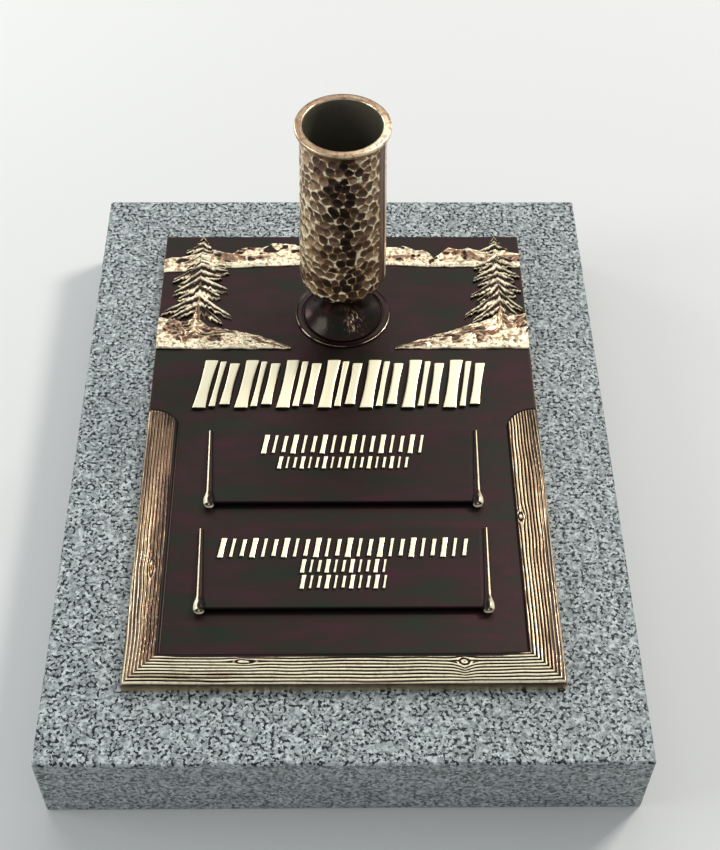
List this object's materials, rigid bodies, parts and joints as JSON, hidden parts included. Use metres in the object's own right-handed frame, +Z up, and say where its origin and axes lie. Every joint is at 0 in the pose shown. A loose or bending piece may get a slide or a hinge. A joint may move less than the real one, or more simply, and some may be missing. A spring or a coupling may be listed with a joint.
{
  "type": "flat grave marker with vase",
  "caption": "Lawn-level grave marker: cast bronze plate with relief landscape, wood-grain frame and raised name scrolls on a granite base, with a hammered flower vase in its ring.",
  "frame": {"origin": "centre of the granite's underside", "axes": "+Z up, +Y towards the far end where the vase stands, +X to the reader's right"},
  "size_m": [0.622, 0.825, 0.4133],
  "materials": {
    "granite": "bluish grey speckled granite, polished top and sawn sides",
    "plate_bronze": "dark brown patina with relief rubbed back to bright gold",
    "scroll_bronze": "dark brown patina with bright rolled edges and strokes",
    "ring_bronze": "dark polished bronze with a bright bead",
    "vase_bronze": "hammered brown bronze with golden raised edges"
  },
  "bodies": {
    "root": {"granite_base": "granite", "bronze_plate": "plate_bronze", "name_scroll_upper": "scroll_bronze", "name_scroll_lower": "scroll_bronze", "vase_ring": "ring_bronze", "vase": "vase_bronze"}
  },
  "joints": []
}
